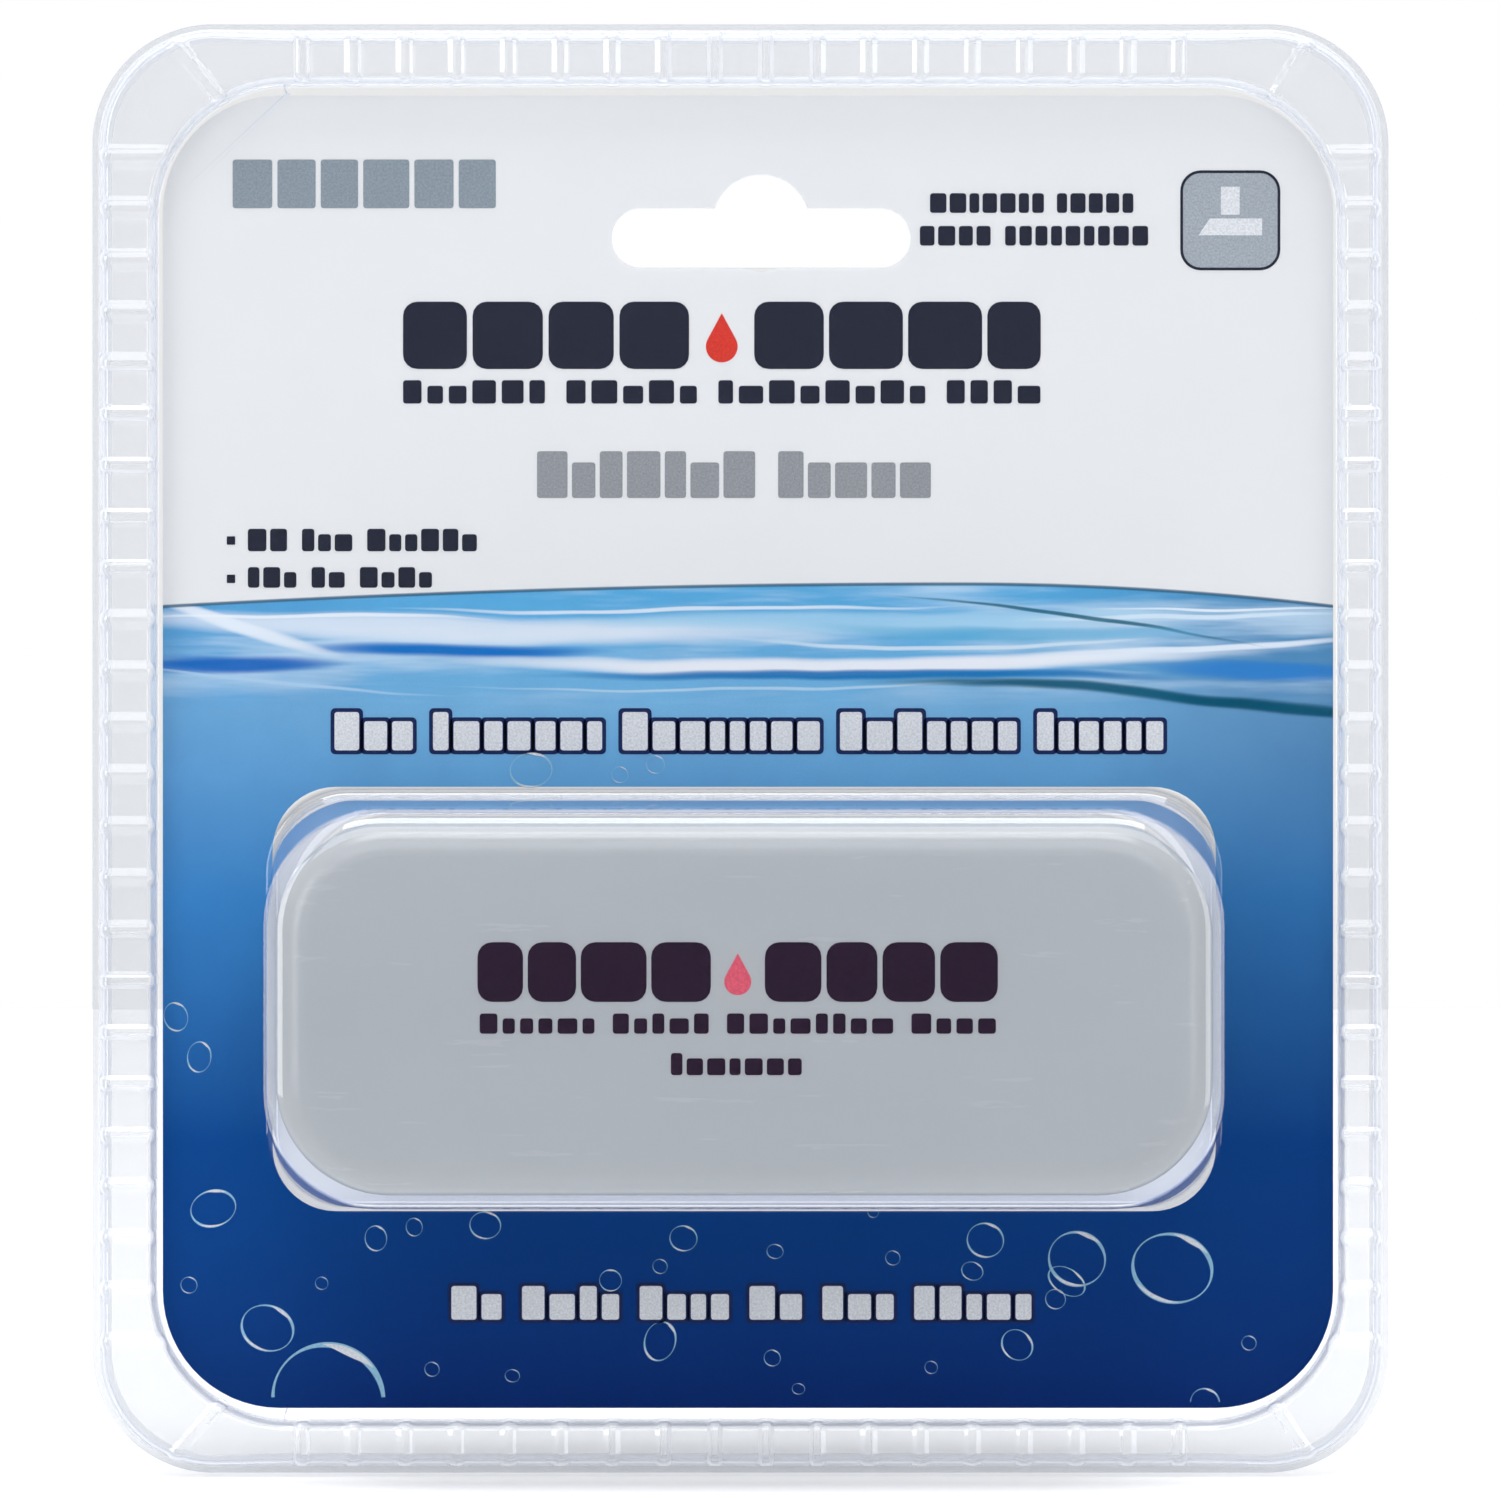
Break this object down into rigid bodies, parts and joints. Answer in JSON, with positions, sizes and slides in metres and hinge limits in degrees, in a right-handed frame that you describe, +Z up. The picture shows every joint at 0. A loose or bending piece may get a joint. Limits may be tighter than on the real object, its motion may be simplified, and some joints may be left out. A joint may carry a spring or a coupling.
{
  "type": "magnetic glass cleaner",
  "caption": "magnetic glass cleaner, two rounded grey halves with pads and magnets, held pad to pad in a clear clamshell hang pack with a printed card",
  "frame": {"origin": "centre of the pack, on the plane where the two pads meet, which is the middle of the card", "axes": "+X right, +Y from the front dome to the back dome, +Z up, as the pack hangs"},
  "size_m": [0.1386, 0.056, 0.1548],
  "materials": {
    "grey_abs": "gloss",
    "clear_sheet": "gloss",
    "printed_card": "satin",
    "felt": "matte",
    "scrub_fibre": "matte",
    "film_adhesive": "matte",
    "black_gasket": "matte",
    "ferrite": "matte",
    "zinc_steel": "satin",
    "white_tray": "satin",
    "closed_cell_foam": "matte"
  },
  "bodies": {
    "back_shell": {"back_shell": "clear_sheet"},
    "float_half": {"float_cover": "grey_abs", "float_base": "grey_abs", "float_seal": "black_gasket", "float_yoke": "zinc_steel", "float_magnet_left": "ferrite", "float_magnet_right": "ferrite", "float_magnet_tray": "white_tray", "float_foam_block": "closed_cell_foam", "float_pad_adhesive": "film_adhesive", "float_scrub_pad": "scrub_fibre"},
    "handle_half": {"handle_cover": "grey_abs", "handle_base": "grey_abs", "handle_yoke": "zinc_steel", "handle_magnet_left": "ferrite", "handle_magnet_right": "ferrite", "handle_magnet_tray": "white_tray", "handle_foam_spacer": "closed_cell_foam", "handle_pad_adhesive": "film_adhesive", "handle_felt_pad": "felt"},
    "front_shell": {"front_shell": "clear_sheet"},
    "insert_card": {"insert_card": "printed_card"}
  },
  "joints": [
    {"name": "float_lift", "type": "slide", "parent": "back_shell", "child": "float_half", "axis": [0, -1, 0], "range_m": [0, 0.032]},
    {"name": "handle_lift", "type": "slide", "parent": "float_half", "child": "handle_half", "axis": [0, -1, 0], "range_m": [0, 0.01], "stiffness_N_per_m": 150, "springref_m": -0.05},
    {"name": "front_lift", "type": "slide", "parent": "handle_half", "child": "front_shell", "axis": [0, -1, 0], "range_m": [0, 0.036]},
    {"name": "card_lift", "type": "slide", "parent": "front_shell", "child": "insert_card", "axis": [0, 1, 0], "range_m": [0, 0.018]}
  ],
  "couplings": [
    {"joint": "card_lift", "follows": "front_lift", "ratio": 0.5}
  ]
}
